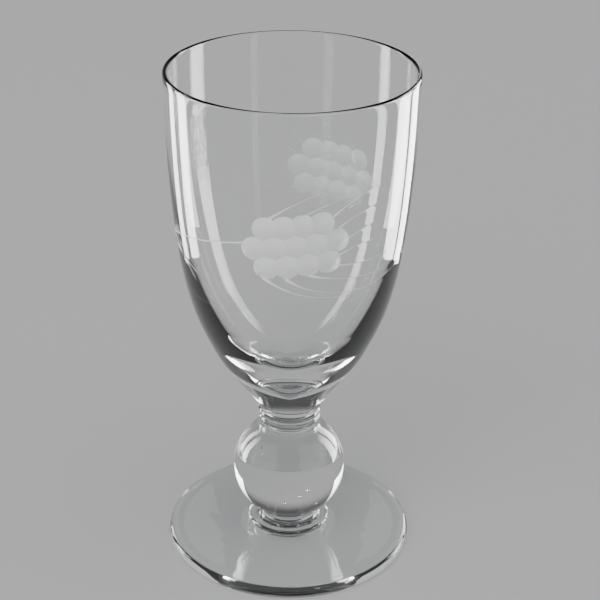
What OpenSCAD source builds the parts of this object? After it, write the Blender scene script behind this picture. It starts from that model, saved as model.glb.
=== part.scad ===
// Wine glass with a ball stem: a tapered goblet bowl, a ringed neck, a solid glass ball,
// a round collar and a flat foot. The five pieces are fused end to end while hot, so each
// one ends on a flat disc that the next one starts from. The outlines are turned about Z,
// with the foot standing on Z = 0.

/* [Bowl] */
// Height of the whole glass
glass_h = 145; // [130:1:165]
// Outer radius at the rim
rim_r = 34.1; // [32:0.1:37]
// Radius of the fire-polished roll along the rim, half of its thickness
lip_r = 0.65; // [0.5:0.05:0.9]
// Outer radius where the flared base turns into the side wall
shoulder_r = 22.4; // [20:0.1:25]
// Height of that turn
shoulder_z = 65.2; // [62:0.1:70]
// Lean of the wall at that turn, in degrees from level
shoulder_lean = 65.5; // [60:0.5:72]
// Height of the lowest point inside the bowl
inside_z = 53.5; // [51:0.5:56]
// How far the inner wall keeps its direction below the rim
inside_wall = 77; // [70:1:80]
// Reach outwards of the soft cone at the bottom of the inside
inside_cone_r = 12; // [10:0.5:14]
// Rise of that cone over its reach
inside_cone_h = 6; // [4:0.5:7]

/* [Neck ring] */
// Height where the ring ends and the bowl starts
neck_z = 43.3; // [43:0.1:44]
// Radius of the neck in the grooves
neck_r = 8.6; // [8.5:0.05:8.8]
// Height of each of the two beads
bead_h = 1.95; // [1.6:0.05:2.1]
// How far each bead stands out of the grooves
bead_out = 0.4; // [0.2:0.05:0.7]

/* [Ball] */
// Radius of the solid ball
ball_r = 16.2; // [15.8:0.1:16.5]
// Height of the ball's centre
ball_z = 23.55; // [23.3:0.05:23.7]
// Radius of the hollow curve between the ball and its neighbours
cove_r = 2; // [1.6:0.1:2.2]
// Radius of the glass at the narrowest place of both coves
waist_r = 8.5; // [8.3:0.05:8.6]

/* [Collar] */
// Outer radius of the collar
collar_r = 12; // [11.5:0.1:12.5]
// Half of the collar's thickness, the radius of its round edge
collar_edge_r = 1.25; // [1:0.05:1.4]

/* [Foot] */
// Outer radius of the foot
foot_r = 35.7; // [33:0.1:38]
// Thickness of the foot's round edge
foot_edge_h = 3.8; // [3:0.1:4.4]
// Thickness of the plate between the edge and the middle
foot_plate_h = 3.6; // [2.8:0.1:4]
// Height of the middle of the foot, where the collar is fused on
foot_top_z = 4.2; // [4.1:0.05:4.4]
// Radius where the plate starts to rise to the collar
foot_rise_r = 15; // [14:0.5:18]
// Radius of the hollow under the foot, inside the flat ring that it rests on
hollow_r = 26; // [20:0.5:30]
// Depth of that hollow in the middle
hollow_h = 0.5; // [0.2:0.1:1]

/* [Hidden] */
$fn = 144;
// Segments along the long curves, the beads and edges, and the ball
curve_steps = 24;
edge_steps = 12;
ball_steps = 60;
clear_glass = [0.86, 0.89, 0.90, 0.45];

// The coves are circles of radius cove_r that touch the ball from outside, and this is how
// far above and below the ball's centre theirs lie, and the angle where they touch it
cove_dz = sqrt(pow(ball_r + cove_r, 2) - pow(waist_r + cove_r, 2));
cove_angle = asin(cove_dz / (ball_r + cove_r));
// Heights of the fused faces below the ball and above it
low_waist_z = ball_z - cove_dz;
high_waist_z = ball_z + cove_dz;
// The collar's round edge, and the radius where it meets the foot
collar_edge_z = foot_top_z + collar_edge_r;
collar_mid_r = collar_r - collar_edge_r;
// The collar's top runs into the waist below the ball in a cove of its own
collar_cove_r = low_waist_z - collar_edge_z - collar_edge_r;

// Point number i of n on a circular arc about c, from angle a to angle b
function arc_point(c, r, a, b, i, n) = c + r * [cos(a + (b - a) * i / n), sin(a + (b - a) * i / n)];

// Points of that arc
function arc(c, r, a, b, n) = [for (i = [0:n]) arc_point(c, r, a, b, i, n)];

// Point at t from 0 to 1 on a cubic curve from p to s, steered by the handles q and r
function cubic_point(p, q, r, s, t) =
    pow(1 - t, 3) * p + 3 * pow(1 - t, 2) * t * q + 3 * (1 - t) * t * t * r + t * t * t * s;

// Points of that curve
function cubic(p, q, r, s, n) = [for (i = [0:n]) cubic_point(p, q, r, s, i / n)];

// A bead that stands out by h between z and z + w, on a neck of radius r
function bead(r, z, w, h) = [for (i = [0:edge_steps]) [r + h * sin(180 * i / edge_steps), z + w * i / edge_steps]];

// Outside of the bowl: the flare from the neck to the shoulder, then the wall to the rim
function bowl_outside() =
    let (shoulder = [shoulder_r, shoulder_z])
    let (lean = [cos(shoulder_lean), sin(shoulder_lean)])
    let (rim = [rim_r, glass_h - lip_r])
    let (neck = [neck_r, neck_z])
    concat(
        cubic(neck, neck + [2, 6], shoulder - 9.3 * lean, shoulder, curve_steps),
        cubic(shoulder, shoulder + 11.2 * lean, rim - [0.8, 58.4], rim, curve_steps)
    );

// Inside of the bowl, from the rim down to a soft cone with its point on the axis
function bowl_inside() =
    let (rim = [rim_r - 2 * lip_r, glass_h - lip_r])
    let (bottom = [0, inside_z])
    let (cone = bottom + [inside_cone_r, inside_cone_h])
    cubic(rim, rim + [0.7, -inside_wall], cone, bottom, curve_steps);

// Bowl: thin at the rim, thickening downwards to a solid base
module bowl() {
    lip = arc([rim_r - lip_r, glass_h - lip_r], lip_r, 0, 180, edge_steps);
    color(clear_glass)
        rotate_extrude()
            polygon(concat([[0, neck_z]], bowl_outside(), lip, bowl_inside()));
}

// Neck ring: a short neck on the ball's cove, then two beads with a groove between them
module neck_ring() {
    color(clear_glass)
        rotate_extrude()
            polygon(concat(
                [[0, high_waist_z], [waist_r, high_waist_z]],
                bead(neck_r, neck_z - 2 * bead_h, bead_h, bead_out),
                bead(neck_r, neck_z - bead_h, bead_h, bead_out),
                [[0, neck_z]]
            ));
}

// Ball: a solid sphere with a hollow cove running into each neighbour
module ball_knop() {
    cove_x = waist_r + cove_r;
    color(clear_glass)
        rotate_extrude()
            polygon(concat(
                [[0, low_waist_z]],
                arc([cove_x, low_waist_z], cove_r, 180, 180 - cove_angle, edge_steps),
                arc([0, ball_z], ball_r, -cove_angle, cove_angle, ball_steps),
                arc([cove_x, high_waist_z], cove_r, 180 + cove_angle, 180, edge_steps),
                [[0, high_waist_z]]
            ));
}

// Collar: a round-edged disc on the foot, with a cove on top that meets the ball's
module collar() {
    cove_x = waist_r + collar_cove_r;
    color(clear_glass)
        rotate_extrude()
            polygon(concat(
                [[0, foot_top_z]],
                arc([collar_mid_r, collar_edge_z], collar_edge_r, -90, 90, edge_steps),
                arc([cove_x, low_waist_z], collar_cove_r, 270, 180, edge_steps),
                [[0, low_waist_z]]
            ));
}

// Foot: a round-edged plate that rises a little to the collar and is hollow underneath
module foot() {
    edge_r = foot_edge_h / 2;
    plate = [foot_r - 2.5 * edge_r, foot_plate_h];
    rise = [foot_rise_r, foot_plate_h];
    middle = [collar_mid_r, foot_top_z];
    color(clear_glass)
        rotate_extrude()
            polygon(concat(
                cubic([0, hollow_h], [hollow_r / 2, hollow_h], [hollow_r * 0.8, 0], [hollow_r, 0], edge_steps),
                arc([foot_r - edge_r, edge_r], edge_r, -90, 90, edge_steps),
                [plate],
                cubic(rise, rise - [2, 0], middle + [1, -0.3], middle, edge_steps),
                [[0, foot_top_z]]
            ));
}

bowl();
neck_ring();
ball_knop();
collar();
foot();
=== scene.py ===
"""Wine glass with a ball stem, cut with two barley ears.

Five pieces of clear glass, fused end to end: bowl, neck ring, ball, collar and foot. Each piece is
an outline turned about Z. Sizes that the frame holds come from its boxes, and the curves between
them follow the same rules as the frame's own outlines. Lengths are in metres.
"""
import math

import bpy
import numpy as np
from mathutils import Matrix, Vector


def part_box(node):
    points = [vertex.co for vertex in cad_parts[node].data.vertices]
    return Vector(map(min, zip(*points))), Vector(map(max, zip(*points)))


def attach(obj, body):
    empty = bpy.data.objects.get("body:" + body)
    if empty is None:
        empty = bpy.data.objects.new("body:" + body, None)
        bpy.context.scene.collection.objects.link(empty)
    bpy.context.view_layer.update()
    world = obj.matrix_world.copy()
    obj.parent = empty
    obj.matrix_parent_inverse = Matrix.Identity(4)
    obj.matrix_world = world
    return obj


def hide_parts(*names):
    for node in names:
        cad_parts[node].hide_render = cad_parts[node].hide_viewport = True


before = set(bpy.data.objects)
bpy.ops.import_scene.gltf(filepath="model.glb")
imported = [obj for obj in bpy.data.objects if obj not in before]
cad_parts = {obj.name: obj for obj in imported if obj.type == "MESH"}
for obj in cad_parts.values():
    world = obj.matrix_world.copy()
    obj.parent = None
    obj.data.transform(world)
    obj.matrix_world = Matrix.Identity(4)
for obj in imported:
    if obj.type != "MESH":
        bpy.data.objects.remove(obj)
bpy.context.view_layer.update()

MM = 0.001
BODY = "root"

# ---------------------------------------------------------------- sizes

# Bowl, neck ring, ball, collar and foot: their ends and widths are the frame's
BOWL_LOW, BOWL_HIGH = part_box("bowl")
RING_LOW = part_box("neck_ring")[0]
BALL_LOW, BALL_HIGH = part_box("ball_knop")
COLLAR_LOW, COLLAR_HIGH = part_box("collar")
FOOT_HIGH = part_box("foot")[1]

GLASS_H = BOWL_HIGH[2]
RIM_R = BOWL_HIGH[0]
NECK_Z = BOWL_LOW[2]
BALL_R = BALL_HIGH[0]
BALL_Z = (BALL_LOW[2] + BALL_HIGH[2]) / 2
COLLAR_R = COLLAR_HIGH[0]
COLLAR_BASE_Z = COLLAR_LOW[2]
FOOT_R = FOOT_HIGH[0]

# The rest are the glassmaker's own sizes. A HANDLE is the step, outwards and up, from the end of a
# curve to the point that steers it, or that step's length where the curve sets its direction.
LIP_R = 0.65 * MM
SHOULDER = np.array([22.4, 65.2]) * MM
SHOULDER_LEAN = math.radians(65.5)
NECK_HANDLE = np.array([2, 6]) * MM
SHOULDER_HANDLE_DOWN = 9.3 * MM
SHOULDER_HANDLE_UP = 11.2 * MM
RIM_HANDLE = np.array([-0.8, -58.4]) * MM
INSIDE_Z = 53.5 * MM
INSIDE_RIM_HANDLE = np.array([0.7, -77]) * MM
INSIDE_CONE_HANDLE = np.array([12, 6]) * MM
NECK_R = 8.6 * MM
BEAD_H = 1.95 * MM
BEAD_OUT = 0.4 * MM
WAIST_R = 8.5 * MM
COVE_R = 2 * MM
COLLAR_EDGE_R = 1.25 * MM
FOOT_EDGE_R = 1.9 * MM
FOOT_PLATE_H = 3.6 * MM
FOOT_PLATE_R = FOOT_R - 2.5 * FOOT_EDGE_R
FOOT_STEP_HANDLE = np.array([1.2, 0]) * MM
FOOT_RISE_R = 15 * MM
FOOT_RISE_HANDLE = np.array([-2, 0]) * MM
FOOT_MIDDLE_HANDLE = np.array([1, -0.3]) * MM
HOLLOW_R = 26 * MM
HOLLOW_H = 0.5 * MM

# Columns round a turned piece, and how many times finer they are where the bowl is cut
COLUMNS = 192
FINER = 3
# The band of the bowl that holds the cut pattern, and its rows' height
CUT_LOW_Z = 86 * MM
CUT_HIGH_Z = 127 * MM
CUT_ROW = 0.34 * MM
# Steps along the bowl's outline: below the cut band, above it, round the lip and down the inside
LOW_STEPS = 45
HIGH_STEPS = 15
LIP_STEPS = 14
INSIDE_STEPS = 72
# Steps along the close outline that the bowl's rows are taken from
CLOSE_STEPS = 400


# ---------------------------------------------------------------- outlines

def cubic(p, q, r, s, n):
    """n + 1 points of a cubic Bezier curve from p to s, steered by q and r, evenly spaced in t."""
    t = np.linspace(0, 1, n + 1)[:, None]
    p, q, r, s = (np.asarray(v, float) for v in (p, q, r, s))
    return (1 - t) ** 3 * p + 3 * (1 - t) ** 2 * t * q + 3 * (1 - t) * t**2 * r + t**3 * s


def arc(centre, radius, start, end, n):
    """n + 1 points of a circular arc from start to end, in degrees."""
    a = np.radians(np.linspace(start, end, n + 1))
    return np.asarray(centre, float) + radius * np.stack([np.cos(a), np.sin(a)], axis=1)


def bead(radius, z, height, out, n):
    """A half sine that stands out by out from a neck of that radius, over that height."""
    t = np.linspace(0, 1, n + 1)
    return np.stack([radius + out * np.sin(math.pi * t), z + height * t], axis=1)


def wall_outside(n):
    """The bowl's outside: a flare from the neck to the shoulder, then the wall up to the lip."""
    lean = np.array([math.cos(SHOULDER_LEAN), math.sin(SHOULDER_LEAN)])
    neck = np.array([NECK_R, NECK_Z])
    rim = np.array([RIM_R, GLASS_H - LIP_R])
    below, above = SHOULDER - SHOULDER_HANDLE_DOWN * lean, SHOULDER + SHOULDER_HANDLE_UP * lean
    flare = cubic(neck, neck + NECK_HANDLE, below, SHOULDER, n)
    wall = cubic(SHOULDER, above, rim + RIM_HANDLE, rim, 2 * n)
    return np.concatenate([flare, wall[1:]])


def wall_inside(n):
    """The bowl's inside: one cubic curve from the lip down to a soft cone that ends on the axis."""
    rim = np.array([RIM_R - 2 * LIP_R, GLASS_H - LIP_R])
    bottom = np.array([0, INSIDE_Z])
    return cubic(rim, rim + INSIDE_RIM_HANDLE, bottom + INSIDE_CONE_HANDLE, bottom, n)


def resample(outline, z):
    """The outline at the heights z, by straight interpolation between its close points."""
    return np.stack([np.interp(z, outline[:, 1], outline[:, 0]), z], axis=1)


# ---------------------------------------------------------------- turned meshes

class Shell:
    """Collects the rings and faces of a closed piece that is turned about Z."""

    def __init__(self):
        self.points = []
        self.count = 0
        self.faces = []
        self.flat = []

    def add_points(self, points):
        """Adds points and returns the number of the first."""
        start = self.count
        self.points.append(points)
        self.count += len(points)
        return start

    def add_faces(self, faces, flat=False):
        """Adds faces, as rows of point numbers. Flat ones are fused ends."""
        self.faces.append(faces)
        self.flat.append(np.full(len(faces), flat))

    def ring(self, radius, z, columns):
        """One ring of points: radius and z may be numbers or one value for each column."""
        a = np.arange(columns) * (2 * math.pi / columns)
        ones = np.ones(columns)
        return self.add_points(np.stack([radius * np.cos(a), radius * np.sin(a), z * ones], axis=1))

    def band(self, low, high, columns, flat=False):
        """Quads between two rings with as many columns, facing outwards when high is above low."""
        i = np.arange(columns)
        j = (i + 1) % columns
        self.add_faces(np.stack([low + i, low + j, high + j, high + i], axis=1), flat)

    def fan(self, ring, z, columns, up, flat=False):
        """Triangles from a ring to a point on the axis, which faces up or down."""
        pole = self.add_points(np.array([[0, 0, z]]))
        i = np.arange(columns)
        j = (i + 1) % columns
        a, b = (i, j) if up else (j, i)
        self.add_faces(np.stack([ring + a, ring + b, np.full(columns, pole)], axis=1), flat)

    def refine(self, coarse, fine, columns, up):
        """Joins a ring to one with three times the columns, which is above it if up is true."""
        i = np.arange(columns)
        j = (i + 1) % columns
        a, b = coarse + i, coarse + j
        f0, f1, f2, f3 = (fine + (3 * i + k) % (3 * columns) for k in range(4))
        if up:
            self.add_faces(np.stack([a, f1, f0], axis=1))
            self.add_faces(np.stack([a, b, f2, f1], axis=1))
            self.add_faces(np.stack([b, f3, f2], axis=1))
        else:
            self.add_faces(np.stack([f0, f1, a], axis=1))
            self.add_faces(np.stack([f1, f2, b, a], axis=1))
            self.add_faces(np.stack([f2, f3, b], axis=1))

    def turn(self, outline, columns, first=None):
        """Rings for each point of an outline, joined by bands. Returns the last ring."""
        last = first
        for radius, z in outline:
            ring = self.ring(radius, z, columns)
            if last is not None:
                self.band(last, ring, columns)
            last = ring
        return last

    def make(self, name):
        """The mesh object. Flat faces are the fused ends, and the others are smooth."""
        points = np.concatenate(self.points)
        loops = np.concatenate([f.ravel() for f in self.faces])
        sizes = np.concatenate([np.full(len(f), f.shape[1]) for f in self.faces])
        mesh = bpy.data.meshes.new(name)
        mesh.vertices.add(len(points))
        mesh.vertices.foreach_set("co", points.ravel())
        mesh.loops.add(len(loops))
        mesh.loops.foreach_set("vertex_index", loops.astype(np.int32))
        mesh.polygons.add(len(sizes))
        mesh.polygons.foreach_set("loop_start", (np.cumsum(sizes) - sizes).astype(np.int32))
        mesh.update(calc_edges=True)
        flat = np.concatenate(self.flat)
        mesh.polygons.foreach_set("use_smooth", ~flat)
        mesh.polygons.foreach_set("material_index", flat.astype(np.int32))
        mesh.validate()
        piece = bpy.data.objects.new(name, mesh)
        bpy.context.collection.objects.link(piece)
        return piece


def capped(outline):
    """A solid turned from an outline, with a flat fused disc across each end."""
    shell = Shell()
    last = shell.turn(outline, COLUMNS)
    shell.fan(0, outline[0][1], COLUMNS, up=False, flat=True)
    shell.fan(last, outline[-1][1], COLUMNS, up=True, flat=True)
    return shell


# ---------------------------------------------------------------- the cut pattern

# One ear of barley. Places on the bowl are (degrees round, millimetres up), with 0 degrees at the
# front and turning to the right. Grains stand in rows along the ear: (rows up, grains, spacing).
EAR_CENTRE = (2.4, 108.6)
EAR_TILT = math.radians(6)
GRAIN_ROWS = ((-1, 4, 5.4), (0, 5, 5.4), (1, 4, 4.9))
ROW_STEP = 5.6
GRAIN_R = 3.45
GRAIN_DEPTH = 0.5
# The ears: degrees round the bowl, millimetres up, and how strongly they are cut
EARS = ((0, 0, 1.0), (155, -4, 0.5))

# Strokes: (start, a point that the curve bends towards, end, half width at the start, at the end)
STROKES = (
    ((-9.5, 116.5), (2, 121.5), (13, 123.5), 0.5, 0.1),
    ((3.5, 116.5), (14, 120.5), (26, 121.5), 0.5, 0.1),
    ((19.5, 117), (29, 121), (39, 122.5), 0.45, 0.1),
    ((22.5, 113.5), (31, 116.5), (40, 117.5), 0.4, 0.1),
    ((26, 109.5), (32, 111.5), (40, 112.5), 0.38, 0.1),
    ((23.5, 105.5), (31, 107.5), (40, 107.5), 0.38, 0.1),
    ((21.5, 102.5), (36, 101), (52, 102), 0.42, 0.08),
    ((10, 100), (28, 97), (48, 97), 0.48, 0.08),
    ((-1.5, 99), (12, 93), (44, 93.5), 0.55, 0.08),
    ((-12, 99), (14, 88), (66, 96), 0.55, 0.08),
    ((-22.5, 108.8), (-52, 105), (-84, 101), 0.3, 0.2),
    ((-84, 101), (-70, 100), (-56, 92.5), 0.6, 0.1),
    ((-74, 98), (-64, 97.5), (-53, 94.5), 0.45, 0.08),
)
# How deep a stroke is and how far its groove spreads, how fast it thins, and how far from it the
# matt mark can reach
STROKE_DEPTH = 0.025
STROKE_SPREAD = 0.3
STROKE_TAPER = 5
STROKE_REACH = 0.9
STROKE_STEPS = 90


def ear_place(across, up):
    """Millimetres along the ear's axis and up from it, for places measured from its centre."""
    along = across * math.cos(EAR_TILT) + up * math.sin(EAR_TILT)
    return along, up * math.cos(EAR_TILT) - across * math.sin(EAR_TILT)


def grain_field(along, rise):
    """How far inside its nearest grain a place is: 1 in the middle of a grain and 0 on its edge.

    Each grain is a round dish, 1 minus the squared distance from its middle over its squared
    radius, and the largest one wins, so neighbours meet on straight ridges."""
    field = np.full(along.shape, -np.inf)
    for row, grains, spacing in GRAIN_ROWS:
        for k in range(grains):
            x = (k - (grains - 1) / 2) * spacing
            field = np.maximum(field, 1 - ((along - x) ** 2 + (rise - row * ROW_STEP) ** 2) / GRAIN_R**2)
    return field


def stroke_field(across, up, scale, stroke, strength):
    """Signed distance from a stroke in half widths, and the plain distance in millimetres.

    The stroke is a quadratic curve. Its half width falls from thick to thin as a power of what is
    left of it, times strength. Each place takes the nearest of the curve's points, and measures
    square to the curve there."""
    start, bend, end, thick, thin = stroke
    t = np.linspace(0, 1, STROKE_STEPS + 1)[:, None]
    start, bend, end = (np.array([p[0] * scale, p[1]]) for p in (start, bend, end))
    curve = (1 - t) ** 2 * start + 2 * (1 - t) * t * bend + t**2 * end
    along = np.gradient(curve, axis=0)
    along /= np.linalg.norm(along, axis=1)[:, None]
    half = strength * (thin + (thick - thin) * (1 - t[:, 0]) ** STROKE_TAPER)
    dx = across[:, None] - curve[None, :, 0]
    dy = up[:, None] - curve[None, :, 1]
    near = np.argmin(dx**2 + dy**2, axis=1)
    rows = np.arange(len(near))
    dx, dy = dx[rows, near], dy[rows, near]
    distance = np.hypot(dx, dy)
    side = np.sign(along[near, 0] * dy - along[near, 1] * dx)
    return side * distance / half[near], distance


# What is stored on the bowl's points, and its value where nothing is cut: the place along and up
# from the ear's middle in mm, how strongly that ear is cut, the signed distance from the nearest
# stroke in half widths, and how near it is
FAR = 99.0
CUT_FIELDS = (
    ("ear_along", FAR),
    ("ear_rise", FAR),
    ("ear_strength", 0.0),
    ("stroke_side", 9.0),
    ("stroke_near", 0.0),
)


def cut_fields(angle, z, radius):
    """The pattern at places on the bowl, in the order of CUT_FIELDS, and the depth of the cut.

    The depth is a dish in each grain and a bell curve across each stroke, whichever is deeper."""
    scale = math.radians(1) * radius / MM
    along, rise, strong, side = (np.full(len(angle), value) for _, value in CUT_FIELDS[:-1])
    nearest = np.full(len(angle), FAR)
    for turn, lift, strength in EARS:
        height = z / MM - lift
        degrees = (angle - turn + 180) % 360 - 180
        own = np.abs(degrees) < 90
        x, y = ear_place((degrees - EAR_CENTRE[0]) * scale, height - EAR_CENTRE[1])
        along, rise = np.where(own, x, along), np.where(own, y, rise)
        strong = np.where(own, strength, strong)
        for stroke in STROKES:
            s, d = stroke_field(degrees * scale, height, scale, stroke, strength)
            closer = d < nearest
            side = np.where(closer, s, side)
            nearest = np.where(closer, d, nearest)
    near = np.exp(-((nearest / STROKE_REACH) ** 2))
    groove = STROKE_DEPTH * np.exp(-((nearest / STROKE_SPREAD) ** 2))
    depth = np.maximum(GRAIN_DEPTH * np.clip(grain_field(along, rise), 0, 1), groove)
    return along, rise, strong, side, near, depth * MM


# ---------------------------------------------------------------- pieces

def make_bowl():
    """The bowl: turned outline, with a finer band where the wheel cuts go in from outside."""
    outside = wall_outside(CLOSE_STEPS)
    shell = Shell()
    last = shell.turn(resample(outside, np.linspace(NECK_Z, CUT_LOW_Z, LOW_STEPS + 1)), COLUMNS)
    shell.fan(0, NECK_Z, COLUMNS, up=False, flat=True)
    # The cut band
    rows = int(round((CUT_HIGH_Z - CUT_LOW_Z) / CUT_ROW))
    heights = np.linspace(CUT_LOW_Z, CUT_HIGH_Z, rows + 1)[1:]
    fine = COLUMNS * FINER
    angle = np.arange(fine) * (360 / fine)
    # Degrees from the front, which faces -Y, as they turn towards +X
    from_front = (angle + 90 + 180) % 360 - 180
    band_start = shell.count
    fields = []
    for k, (radius, z) in enumerate(resample(outside, heights)):
        values = cut_fields(from_front, np.full(fine, z), radius)
        ring = shell.ring(radius - values[-1], z, fine)
        if k == 0:
            shell.refine(last, ring, COLUMNS, up=True)
        else:
            shell.band(last, ring, fine)
        last = ring
        fields.append(values)
    # The wall above it, the lip and the inside
    top = resample(outside, np.linspace(CUT_HIGH_Z, GLASS_H - LIP_R, HIGH_STEPS + 1)[1:])
    ring = shell.ring(top[0][0], top[0][1], COLUMNS)
    shell.refine(ring, last, COLUMNS, up=False)
    last = shell.turn(top[1:], COLUMNS, ring)
    lip = arc([RIM_R - LIP_R, GLASS_H - LIP_R], LIP_R, 0, 180, LIP_STEPS)
    inside = wall_inside(INSIDE_STEPS)
    last = shell.turn(np.concatenate([lip[1:], inside[1:-1]]), COLUMNS, last)
    shell.fan(last, INSIDE_Z, COLUMNS, up=True)
    bowl = shell.make("bowl_of_glass")
    count = len(bowl.data.vertices)
    for k, (name, uncut) in enumerate(CUT_FIELDS):
        values = np.full(count, uncut)
        cut = np.concatenate([f[k] for f in fields])
        values[band_start:band_start + len(cut)] = cut
        bowl.data.attributes.new(name, "FLOAT", "POINT").data.foreach_set("value", values)
    return bowl


def make_neck_ring():
    """The ring: a short neck on the ball's cove, then two beads with a groove between them."""
    low = np.array([[WAIST_R, RING_LOW[2]]])
    beads = [bead(NECK_R, NECK_Z - k * BEAD_H, BEAD_H, BEAD_OUT, 14) for k in (2, 1)]
    outline = np.concatenate([low, beads[0], beads[1][1:]])
    return capped(outline).make("ring_on_neck")


# Seeds: tiny air bubbles left in the ball, as (x, y, z) from its centre and radius, in mm
SEEDS = (
    (-7.0, -6.5, 8.5, 0.36),
    (-6.9, -7.0, 6.8, 0.44),
    (4.8, -9.0, -2.3, 0.38),
    (2.6, -7.5, -4.5, 0.32),
    (-0.9, -8.5, -5.9, 0.4),
    (6.2, -5.0, -7.4, 0.3),
    (3.5, 6.0, 3.0, 0.3),
)
SEED_COLUMNS = 12


def add_seed(shell, centre, radius):
    """An air bubble: a small sphere by latitude and longitude that faces inwards, into the air."""
    x, y, z = centre
    rings = []
    for a in np.radians(np.linspace(-60, 60, 5)):
        ring = shell.ring(radius * math.cos(a), z + radius * math.sin(a), SEED_COLUMNS)
        shell.points[-1] += [x, y, 0]
        rings.append(ring)
    for low, high in zip(rings, rings[1:]):
        shell.band(high, low, SEED_COLUMNS)
    for ring, end, up in ((rings[0], -radius, True), (rings[-1], radius, False)):
        shell.fan(ring, z + end, SEED_COLUMNS, up)
        shell.points[-1] += [x, y, 0]


def make_ball():
    """The ball: a sphere whose poles run through hollow coves into the waists, with its seeds."""
    reach = BALL_R + COVE_R
    rise = math.sqrt(reach**2 - (WAIST_R + COVE_R) ** 2)
    touch = math.degrees(math.asin(rise / reach))
    cove_x = WAIST_R + COVE_R
    outline = np.concatenate([
        arc([cove_x, BALL_LOW[2]], COVE_R, 180, 180 - touch, 14),
        arc([0, BALL_Z], BALL_R, -touch, touch, 110)[1:-1],
        arc([cove_x, BALL_HIGH[2]], COVE_R, 180 + touch, 180, 14),
    ])
    shell = capped(outline)
    for x, y, z, radius in SEEDS:
        add_seed(shell, (x * MM, y * MM, BALL_Z + z * MM), radius * MM)
    return shell.make("ball_of_stem")


def make_collar():
    """The collar: a round edge, then a cove that runs up to the waist below the ball."""
    edge_z = COLLAR_BASE_Z + COLLAR_EDGE_R
    cove_r = COLLAR_HIGH[2] - edge_z - COLLAR_EDGE_R
    outline = np.concatenate([
        arc([COLLAR_R - COLLAR_EDGE_R, edge_z], COLLAR_EDGE_R, -90, 90, 24),
        arc([WAIST_R + cove_r, COLLAR_HIGH[2]], cove_r, 270, 180, 16),
    ])
    return capped(outline).make("collar_under_ball")


def make_foot():
    """The foot: hollow underside, flat resting ring, round edge, plate and a rise to the collar."""
    middle = np.array([COLLAR_R - COLLAR_EDGE_R, FOOT_HIGH[2]])
    rise = np.array([FOOT_RISE_R, FOOT_PLATE_H])
    plate = np.array([FOOT_PLATE_R, FOOT_PLATE_H])
    hollow = cubic([0, HOLLOW_H], [HOLLOW_R / 2, HOLLOW_H], [HOLLOW_R * 0.8, 0], [HOLLOW_R, 0], 20)
    edge = arc([FOOT_R - FOOT_EDGE_R, FOOT_EDGE_R], FOOT_EDGE_R, -90, 90, 28)
    step = cubic(edge[-1], edge[-1] - FOOT_STEP_HANDLE, plate + FOOT_STEP_HANDLE, plate, 8)
    slope = cubic(rise, rise + FOOT_RISE_HANDLE, middle + FOOT_MIDDLE_HANDLE, middle, 12)
    flat = np.linspace(plate, rise, 12)[1:-1]
    outline = np.concatenate([hollow[1:], edge, step[1:], flat, slope])
    shell = Shell()
    last = shell.turn(outline, COLUMNS)
    shell.fan(0, HOLLOW_H, COLUMNS, up=False)
    shell.fan(last, FOOT_HIGH[2], COLUMNS, up=True, flat=True)
    return shell.make("foot_of_glass")


# ---------------------------------------------------------------- materials

def new_group(name, inputs, outputs):
    """A shader node group with float sockets: inputs as (name, value), outputs as names."""
    group = bpy.data.node_groups.new(name, "ShaderNodeTree")
    for label, value in inputs:
        socket = group.interface.new_socket(label, in_out="INPUT", socket_type="NodeSocketFloat")
        socket.default_value = value
    for label in outputs:
        group.interface.new_socket(label, in_out="OUTPUT", socket_type="NodeSocketFloat")
    return group, group.nodes.new("NodeGroupInput"), group.nodes.new("NodeGroupOutput")


def feed(tree, socket, value):
    """Gives an input a number, or a link from another node's output."""
    if isinstance(value, (int, float)):
        socket.default_value = value
    else:
        tree.links.new(value, socket)


def maths(tree, operation, a, b=None, c=None, clamp=False):
    """A Math node, whose inputs are numbers or sockets."""
    node = tree.nodes.new("ShaderNodeMath")
    node.operation = operation
    node.use_clamp = clamp
    for socket, value in zip(node.inputs, (a, b, c)):
        if value is not None:
            feed(tree, socket, value)
    return node.outputs[0]


def ramp(tree, value, low, high):
    """0 below low, 1 above high, and smooth between them."""
    node = tree.nodes.new("ShaderNodeMapRange")
    node.interpolation_type = "SMOOTHSTEP"
    for label, number in (("Value", value), ("From Min", low), ("From Max", high)):
        feed(tree, node.inputs[label], number)
    return node.outputs["Result"]


def noise(tree, vector, scale, detail):
    """A Noise Texture's value on a vector."""
    node = tree.nodes.new("ShaderNodeTexNoise")
    node.inputs["Detail"].default_value = detail
    feed(tree, node.inputs["Scale"], scale)
    tree.links.new(vector, node.inputs["Vector"])
    return node.outputs[0]


def object_place(tree, scale=(1, 1, 1)):
    """Object coordinates, stretched by a Mapping node."""
    place = tree.nodes.new("ShaderNodeTexCoord").outputs["Object"]
    mapping = tree.nodes.new("ShaderNodeMapping")
    mapping.inputs["Scale"].default_value = scale
    tree.links.new(place, mapping.inputs["Vector"])
    return mapping.outputs[0]


# How patterns are stretched along the glass's axis: waves are drawn out, and haze is flattened
WAVE_STRETCH = (1, 1, 0.35)
HAZE_STRETCH = (1, 1, 2.5)
# Where in the noise the haze begins and where it is full
HAZE_FROM, HAZE_FULL = 0.52, 0.78
# The streaks' change outwards, beside their change round the foot, for each metre
STREAK_DRIFT = 25.0


def hot_glass_waves():
    """Group: the slow unevenness of hand-shaped glass, as a height from 0 to Height."""
    group, ins, outs = new_group("hot_glass_waves", (("Size", 60.0), ("Height", 0.01)), ("Height",))
    slow = noise(group, object_place(group, WAVE_STRETCH), ins.outputs["Size"], 1.5)
    group.links.new(maths(group, "MULTIPLY", slow, ins.outputs["Height"]), outs.inputs["Height"])
    return group


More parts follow.
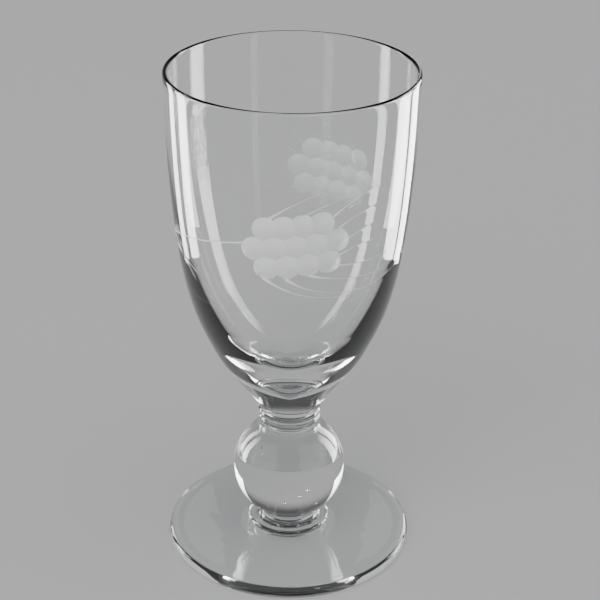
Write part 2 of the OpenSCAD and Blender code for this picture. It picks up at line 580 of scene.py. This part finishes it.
def spun_waves():
    """Group: the streaks that shaping leaves on a spun foot, as a height from 0 to 1.

    The pattern follows the way round, turned by Twist for each metre outwards, so the streaks run
    outwards in slow spirals."""
    inputs = (("Count", 2.5), ("Twist", 30.0))
    group, ins, outs = new_group("spun_waves", inputs, ("Height",))
    split = group.nodes.new("ShaderNodeSeparateXYZ")
    group.links.new(group.nodes.new("ShaderNodeTexCoord").outputs["Object"], split.inputs[0])
    x, y = split.outputs["X"], split.outputs["Y"]
    squared = maths(group, "MULTIPLY_ADD", x, x, maths(group, "MULTIPLY", y, y))
    radius = maths(group, "SQRT", squared)
    turned = maths(group, "MULTIPLY", radius, ins.outputs["Twist"])
    angle = maths(group, "ADD", maths(group, "ARCTAN2", y, x), turned)
    place = group.nodes.new("ShaderNodeCombineXYZ")
    group.links.new(maths(group, "COSINE", angle), place.inputs["X"])
    group.links.new(maths(group, "SINE", angle), place.inputs["Y"])
    group.links.new(maths(group, "MULTIPLY", radius, STREAK_DRIFT), place.inputs["Z"])
    streaks = noise(group, place.outputs[0], ins.outputs["Count"], 1.0)
    group.links.new(streaks, outs.inputs["Height"])
    return group


def handling_haze():
    """Group: roughness of polished glass with a little wiping haze, in soft patches."""
    inputs = (("Polish", 0.004), ("Haze", 0.03), ("Size", 45.0))
    group, ins, outs = new_group("handling_haze", inputs, ("Roughness",))
    patches = noise(group, object_place(group, HAZE_STRETCH), ins.outputs["Size"], 4.0)
    mask = ramp(group, patches, HAZE_FROM, HAZE_FULL)
    haze = maths(group, "MULTIPLY_ADD", mask, ins.outputs["Haze"], ins.outputs["Polish"])
    group.links.new(haze, outs.inputs["Roughness"])
    return group


def stored(tree, name):
    """One of CUT_FIELDS, read from the bowl's points."""
    node = tree.nodes.new("ShaderNodeAttribute")
    node.attribute_name = name
    return node.outputs["Fac"]


def own_dish(tree):
    """The field of grain_field, and how far up its own dish a place is, from -1 to 1.

    In each row the nearest of its dishes is found by rounding, and the rows are compared."""
    along, rise = stored(tree, "ear_along"), stored(tree, "ear_rise")
    best = own = None
    for row, grains, spacing in GRAIN_ROWS:
        middle = (grains - 1) / 2
        k = maths(tree, "ROUND", maths(tree, "MULTIPLY_ADD", along, 1 / spacing, middle))
        k = maths(tree, "MINIMUM", maths(tree, "MAXIMUM", k, 0), grains - 1)
        dx = maths(tree, "MULTIPLY_ADD", k, -spacing, maths(tree, "ADD", along, middle * spacing))
        dy = maths(tree, "SUBTRACT", rise, row * ROW_STEP)
        squared = maths(tree, "MULTIPLY_ADD", dx, dx, maths(tree, "MULTIPLY", dy, dy))
        field = maths(tree, "MULTIPLY_ADD", squared, -1 / GRAIN_R**2, 1)
        if best is None:
            best, own = field, dy
            continue
        wins = maths(tree, "GREATER_THAN", field, best)
        own = maths(tree, "MULTIPLY_ADD", wins, maths(tree, "SUBTRACT", dy, own), own)
        best = maths(tree, "MAXIMUM", field, best)
    return best, maths(tree, "MULTIPLY", own, 1 / GRAIN_R)


# Between these places in a dish, from its middle as parts of its radius downwards, its matt white
# is painted away towards clear glass: painted shade, lighter at the top of the dish and darker below
PAINTED_SHADE_FROM, PAINTED_SHADE_FULL = -0.9, 0.8
# A stroke's V in half widths from its middle, how matt it is, and where it ends in nearness
STROKE_V = 1.15
STROKE_WHITE = 0.8
STROKE_NEAR = (0.05, 0.3)
STROKE_EDGE = (0.02, 0.3)
GRIT_SCALE = 5200.0


def wheel_cut():
    """Group: the stone wheel's marks. Mask is how matt a cut is, with painted shade in it, Groove the V
    of a stroke, and Grit the fine grain of the stone.

    Each dish keeps its matt white at its top and loses it downwards as painted shade, so it reads
    lighter at the top and darker towards its bottom. The second input sets how much is taken away."""
    inputs = (("Edge", 0.05), ("Fade", 0.6))
    group, ins, outs = new_group("wheel_cut", inputs, ("Mask", "Groove", "Grit"))
    field, up = own_dish(group)
    grain = ramp(group, field, 0.0, ins.outputs["Edge"])
    # Painted shade: less matt white towards the bottom of each dish, so it reads darker there
    down = ramp(group, maths(group, "MULTIPLY", up, -1.0), PAINTED_SHADE_FROM, PAINTED_SHADE_FULL)
    lost = maths(group, "MULTIPLY", down, ins.outputs["Fade"])
    grain = maths(group, "MULTIPLY", grain, maths(group, "SUBTRACT", 1.0, lost))
    distance = maths(group, "ABSOLUTE", stored(group, "stroke_side"))
    valley = maths(group, "SUBTRACT", STROKE_V, distance, clamp=True)
    close = ramp(group, stored(group, "stroke_near"), *STROKE_NEAR)
    groove = maths(group, "MULTIPLY", valley, close)
    stroke = maths(group, "MULTIPLY", ramp(group, groove, *STROKE_EDGE), STROKE_WHITE)
    grit = noise(group, object_place(group), GRIT_SCALE, 2.0)
    mask = maths(group, "MAXIMUM", grain, stroke)
    mask = maths(group, "MULTIPLY", mask, stored(group, "ear_strength"))
    group.links.new(mask, outs.inputs["Mask"])
    group.links.new(groove, outs.inputs["Groove"])
    group.links.new(grit, outs.inputs["Grit"])
    return group


def use_group(tree, group, **values):
    """A group placed in a material, with its own values by input name."""
    node = tree.nodes.new("ShaderNodeGroup")
    node.node_tree = group
    for label, value in values.items():
        node.inputs[label].default_value = value
    return node


def new_material(name):
    """An empty material's node tree and its output node."""
    material = bpy.data.materials.new(name)
    material.use_nodes = True
    tree = material.node_tree
    tree.nodes.clear()
    return material, tree, tree.nodes.new("ShaderNodeOutputMaterial")


def glass_node(tree, colour, ior, transmission=1.0):
    """A Principled shader for glass."""
    glass = tree.nodes.new("ShaderNodeBsdfPrincipled")
    glass.inputs["Base Color"].default_value = (*colour, 1)
    glass.inputs["Transmission Weight"].default_value = transmission
    glass.inputs["IOR"].default_value = ior
    return glass


# How much light the glass lets through face on and edge on, and how sharply one turns to the other
THROUGH_FACE = (0.985, 0.99, 0.99)
THROUGH_EDGE = (0.6, 0.61, 0.61)
THROUGH_BLEND = 0.35


def let_light_through(tree, output, shader, most_mirrors=None):
    """Joins a glass shader to the output so that light goes straight through the glass.

    Lamps and diffuse light meet a Transparent shader in its place, darker where the glass is seen
    edge on, so the shadow is soft and clean. Where most_mirrors is given, light that has been
    mirrored more times than that leaves the glass, instead of going round in it and being lost."""
    facing = tree.nodes.new("ShaderNodeLayerWeight")
    facing.inputs["Blend"].default_value = THROUGH_BLEND
    thin = tree.nodes.new("ShaderNodeMix")
    thin.data_type = "RGBA"
    thin.inputs["A"].default_value = (*THROUGH_FACE, 1)
    thin.inputs["B"].default_value = (*THROUGH_EDGE, 1)
    tree.links.new(facing.outputs["Facing"], thin.inputs["Factor"])
    clear = tree.nodes.new("ShaderNodeBsdfTransparent")
    tree.links.new(thin.outputs["Result"], clear.inputs["Color"])
    path = tree.nodes.new("ShaderNodeLightPath")
    rays = [path.outputs["Is Diffuse Ray"], path.outputs["Is Shadow Ray"]]
    if most_mirrors is not None:
        rays.append(maths(tree, "GREATER_THAN", path.outputs["Glossy Depth"], most_mirrors + 0.5))
    for ray in rays:
        mix = tree.nodes.new("ShaderNodeMixShader")
        tree.links.new(ray, mix.inputs[0])
        tree.links.new(shader, mix.inputs[1])
        tree.links.new(clear.outputs[0], mix.inputs[2])
        shader = mix.outputs[0]
    tree.links.new(shader, output.inputs["Surface"])


def bump(tree, height, distance, normal=None):
    """A Bump node's normal. distance is the height, in metres, that a height of 1 stands for."""
    node = tree.nodes.new("ShaderNodeBump")
    node.inputs["Distance"].default_value = distance
    tree.links.new(height, node.inputs["Height"])
    if normal is not None:
        tree.links.new(normal, node.inputs["Normal"])
    return node.outputs[0]


CRYSTAL = (0.988, 0.992, 0.992)
CRYSTAL_IOR = 1.52
# Ground glass scatters part of the light as white
GROUND_WHITE = (0.93, 0.94, 0.95)
GROUND_CLEARNESS = 0.25
GROUND_ROUGHNESS = 0.5
# Heights of the bumps: slow waves in the bowl, the stem and the foot, the foot's streaks, the V of
# a stroke and the grit of a cut
BOWL_WAVE = 0.02 * MM
STEM_WAVE = 0.015 * MM
FOOT_WAVE = 0.05 * MM
FOOT_STREAK = 0.12 * MM
STROKE_V_DEPTH = 0.12 * MM
GRIT_DEPTH = 0.02 * MM
# The most times that light is mirrored inside the foot
FOOT_MIRRORS = 2


def clear_glass(name, waves, haze, size, height, streaks=None):
    """Polished glass with slow waves, streaks if the piece was spun, and a trace of haze."""
    material, tree, output = new_material(name)
    glass = glass_node(tree, CRYSTAL, CRYSTAL_IOR)
    let_light_through(tree, output, glass.outputs[0], None if streaks is None else FOOT_MIRRORS)
    wavy = use_group(tree, waves, Size=size, Height=1.0)
    normal = bump(tree, wavy.outputs["Height"], height)
    if streaks is not None:
        spun = use_group(tree, streaks)
        normal = bump(tree, spun.outputs["Height"], FOOT_STREAK, normal)
    tree.links.new(normal, glass.inputs["Normal"])
    hazy = use_group(tree, haze)
    tree.links.new(hazy.outputs["Roughness"], glass.inputs["Roughness"])
    return material


def cut_glass(name, waves, haze, cut):
    """The bowl's glass: polished, and matt white where the wheel has ground it, with painted shade that
    leaves each dish less white towards its bottom.
    """
    material, tree, output = new_material(name)
    wavy = use_group(tree, waves, Size=38.0, Height=1.0)
    hazy = use_group(tree, haze, Haze=0.02)
    wheel = use_group(tree, cut)
    smooth = bump(tree, wavy.outputs["Height"], BOWL_WAVE)
    polished = glass_node(tree, CRYSTAL, CRYSTAL_IOR)
    tree.links.new(smooth, polished.inputs["Normal"])
    tree.links.new(hazy.outputs["Roughness"], polished.inputs["Roughness"])
    ground = glass_node(tree, GROUND_WHITE, CRYSTAL_IOR, GROUND_CLEARNESS)
    valley = maths(tree, "MULTIPLY", wheel.outputs["Groove"], -1.0)
    normal = bump(tree, valley, STROKE_V_DEPTH, smooth)
    normal = bump(tree, wheel.outputs["Grit"], GRIT_DEPTH, normal)
    tree.links.new(normal, ground.inputs["Normal"])
    ground.inputs["Roughness"].default_value = GROUND_ROUGHNESS
    mix = tree.nodes.new("ShaderNodeMixShader")
    tree.links.new(wheel.outputs["Mask"], mix.inputs[0])
    tree.links.new(polished.outputs[0], mix.inputs[1])
    tree.links.new(ground.outputs[0], mix.inputs[2])
    let_light_through(tree, output, mix.outputs[0])
    return material


def fused_face():
    """Where two pieces are fused, the glass goes straight on and nothing shows."""
    material, tree, output = new_material("fused_face")
    clear = tree.nodes.new("ShaderNodeBsdfTransparent")
    tree.links.new(clear.outputs[0], output.inputs["Surface"])
    return material


# ---------------------------------------------------------------- studio

# The camera's place, its turn down and about its own axis in degrees, and its lens in mm
CAMERA_PLACE = (0.0027, -0.4016, 0.2803)
CAMERA_PITCH = 26.82
CAMERA_ROLL = 0.67
CAMERA_LENS = 96.2
CAMERA_NEAR = 0.01


def make_camera():
    """A camera that looks along +Y and down on the glass, turned a trace about its own axis."""
    camera = bpy.data.objects.new("camera", bpy.data.cameras.new("camera"))
    camera.data.lens = CAMERA_LENS
    camera.data.clip_start = CAMERA_NEAR
    pitch = Matrix.Rotation(math.radians(90 - CAMERA_PITCH), 4, "X")
    roll = Matrix.Rotation(math.radians(CAMERA_ROLL), 4, "Z")
    camera.matrix_world = Matrix.Translation(CAMERA_PLACE) @ pitch @ roll
    bpy.context.collection.objects.link(camera)
    bpy.context.scene.camera = camera


# The floor is a hair below the foot, so that their faces don't lie in one plane
FLOOR_Z = -0.05 * MM
FLOOR_R = 3.0
FLOOR_COLOUR = (0.5, 0.5, 0.505)
FLOOR_ROUGHNESS = 0.5
FLOOR_RINGS = 12
FLOOR_COLUMNS = 64


def make_floor():
    """A round pale floor, as rings that widen outwards so that it can be shaded smoothly."""
    shell = Shell()
    radii = FLOOR_R * np.linspace(0, 1, FLOOR_RINGS + 1)[1:] ** 2
    last = shell.turn([(r, FLOOR_Z) for r in radii[::-1]], FLOOR_COLUMNS)
    shell.fan(last, FLOOR_Z, FLOOR_COLUMNS, up=True)
    floor = shell.make("floor")
    material, tree, output = new_material("pale_floor")
    paint = tree.nodes.new("ShaderNodeBsdfPrincipled")
    paint.inputs["Base Color"].default_value = (*FLOOR_COLOUR, 1)
    paint.inputs["Roughness"].default_value = FLOOR_ROUGHNESS
    tree.links.new(paint.outputs[0], output.inputs["Surface"])
    floor.data.materials.append(material)


def make_lamp(name, place, target, size, power):
    """A soft rectangular lamp that faces a target and that the camera doesn't see."""
    lamp = bpy.data.lights.new(name, "AREA")
    lamp.shape = "RECTANGLE"
    lamp.size, lamp.size_y = size
    lamp.energy = power
    ob = bpy.data.objects.new(name, lamp)
    ob.location = place
    ob.rotation_euler = (Vector(target) - Vector(place)).to_track_quat("-Z", "Y").to_euler()
    ob.visible_camera = False
    bpy.context.collection.objects.link(ob)
    return ob


# The room's colour at the horizon and overhead, and the slope where it has turned to the second
PALE_ROOM = (0.46, 0.46, 0.465)
DARK_ROOM = (0.05, 0.05, 0.052)
DARK_FROM = 0.4


def make_world():
    """A soft grey room: pale at the horizon and darker overhead."""
    world = bpy.data.worlds.new("room")
    world.use_nodes = True
    tree = world.node_tree
    tree.nodes.clear()
    place = tree.nodes.new("ShaderNodeTexCoord").outputs["Generated"]
    split = tree.nodes.new("ShaderNodeSeparateXYZ")
    tree.links.new(place, split.inputs[0])
    lift = ramp(tree, split.outputs["Z"], 0.0, DARK_FROM)
    colour = tree.nodes.new("ShaderNodeMix")
    colour.data_type = "RGBA"
    colour.inputs["A"].default_value = (*PALE_ROOM, 1)
    colour.inputs["B"].default_value = (*DARK_ROOM, 1)
    tree.links.new(lift, colour.inputs["Factor"])
    background = tree.nodes.new("ShaderNodeBackground")
    tree.links.new(colour.outputs["Result"], background.inputs["Color"])
    output = tree.nodes.new("ShaderNodeOutputWorld")
    tree.links.new(background.outputs[0], output.inputs[0])
    bpy.context.scene.world = world


ALL_PIECES = ("bowl", "neck_ring", "ball_knop", "collar", "foot")
# Upright strips: name, degrees round from the front, width, watts to a square metre, whether it is
# mirrored in the glass, whether it shows through the glass, and the pieces it lights
STRIPS = (
    ("left_strip", -105, 0.04, 25, True, True, ALL_PIECES),
    ("right_strip", 110, 0.06, 25, True, True, ALL_PIECES),
    ("left_back_strip", -124, 0.03, 17, True, False, ALL_PIECES),
    ("right_back_strip", 132, 0.05, 22, True, False, ALL_PIECES),
    ("left_ball_strip", -118, 0.1, 10, False, True, ("ball_knop",)),
    ("right_ball_strip", 118, 0.1, 10, False, True, ("ball_knop",)),
)
STRIP_AWAY = 0.2
STRIP_H = 0.3
STRIP_LEAN = math.radians(12)
STRIP_SPREAD = math.radians(100)

# Dim soft boxes behind that give the foot its sheen and a pale edge: name and degrees round
FOOT_BOXES = (("left_foot_box", -158), ("right_foot_box", 158))
FOOT_BOX_AWAY = 0.25
FOOT_BOX_Z = 0.13
FOOT_BOX = (0.11, 0.14)
FOOT_BOX_GLOW = 2.2


def light_only(lamp, pieces, nodes, mirrored, through):
    """Makes a lamp show only in the pieces for some nodes: mirrored in them, through them or both."""
    lamp.visible_diffuse = False
    lamp.visible_glossy = mirrored
    lamp.visible_transmission = through
    lit = bpy.data.collections.new(lamp.name)
    for piece, node, _, _ in pieces:
        if node in nodes:
            lit.objects.link(piece)
    lamp.light_linking.receiver_collection = lit


def beside(degrees, away, z):
    """A place at that many degrees round from the front, which turn towards +X."""
    a = math.radians(degrees)
    return (away * math.sin(a), -away * math.cos(a), z)


def make_strips(pieces):
    """Upright soft strips on both sides of the glass, and boxes behind it for the foot alone.

    The strips lean back a little, and glow less and less away from the way that they face."""
    target = (0, 0, STRIP_H / 2 + STRIP_AWAY * math.tan(STRIP_LEAN))
    for name, degrees, width, glow, mirrored, through, nodes in STRIPS:
        place = beside(degrees, STRIP_AWAY, STRIP_H / 2)
        lamp = make_lamp(name, place, target, (width, STRIP_H), glow * width * STRIP_H)
        lamp.data.spread = STRIP_SPREAD
        light_only(lamp, pieces, nodes, mirrored, through)
    for name, degrees in FOOT_BOXES:
        place = beside(degrees, FOOT_BOX_AWAY, FOOT_BOX_Z)
        power = FOOT_BOX_GLOW * FOOT_BOX[0] * FOOT_BOX[1]
        lamp = make_lamp(name, place, (0, 0, 0), FOOT_BOX, power)
        light_only(lamp, pieces, ("foot",), mirrored=True, through=False)


# Wide soft skies: name, the way to it, and strength
SKIES = (("front_sky", (-0.5, -0.9, 0.75), 3.1), ("top_sky", (0.3, -0.3, 1.5), 1.4))
SKY_WIDTH = math.radians(50)


def make_sky(name, direction, strength):
    """A wide, distant soft light that lights evenly and doesn't show in glass."""
    sky = bpy.data.lights.new(name, "SUN")
    sky.energy = strength
    sky.angle = SKY_WIDTH
    ob = bpy.data.objects.new(name, sky)
    ob.rotation_euler = Vector(direction).to_track_quat("Z", "Y").to_euler()
    ob.visible_glossy = False
    ob.visible_transmission = False
    bpy.context.collection.objects.link(ob)


def make_studio():
    """Camera, floor, room and two wide skies."""
    make_camera()
    make_floor()
    make_world()
    for name, direction, strength in SKIES:
        make_sky(name, direction, strength)


# ---------------------------------------------------------------- the glass

make_studio()

WAVES = hot_glass_waves()
HAZE = handling_haze()
FUSED = fused_face()
BOWL_GLASS = cut_glass("bowl_glass", WAVES, HAZE, wheel_cut())
STEM_GLASS = clear_glass("stem_glass", WAVES, HAZE, 70.0, STEM_WAVE)
FOOT_GLASS = clear_glass("foot_glass", WAVES, HAZE, 50.0, FOOT_WAVE, spun_waves())

PIECES = (
    (make_bowl(), "bowl", "bowl_glass", BOWL_GLASS),
    (make_neck_ring(), "neck_ring", "stem_glass", STEM_GLASS),
    (make_ball(), "ball_knop", "stem_glass", STEM_GLASS),
    (make_collar(), "collar", "stem_glass", STEM_GLASS),
    (make_foot(), "foot", "foot_glass", FOOT_GLASS),
)

make_strips(PIECES)

for piece, node, finish, glass in PIECES:
    piece.data.materials.append(glass)
    piece.data.materials.append(FUSED)
    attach(piece, BODY)
    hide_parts(node)
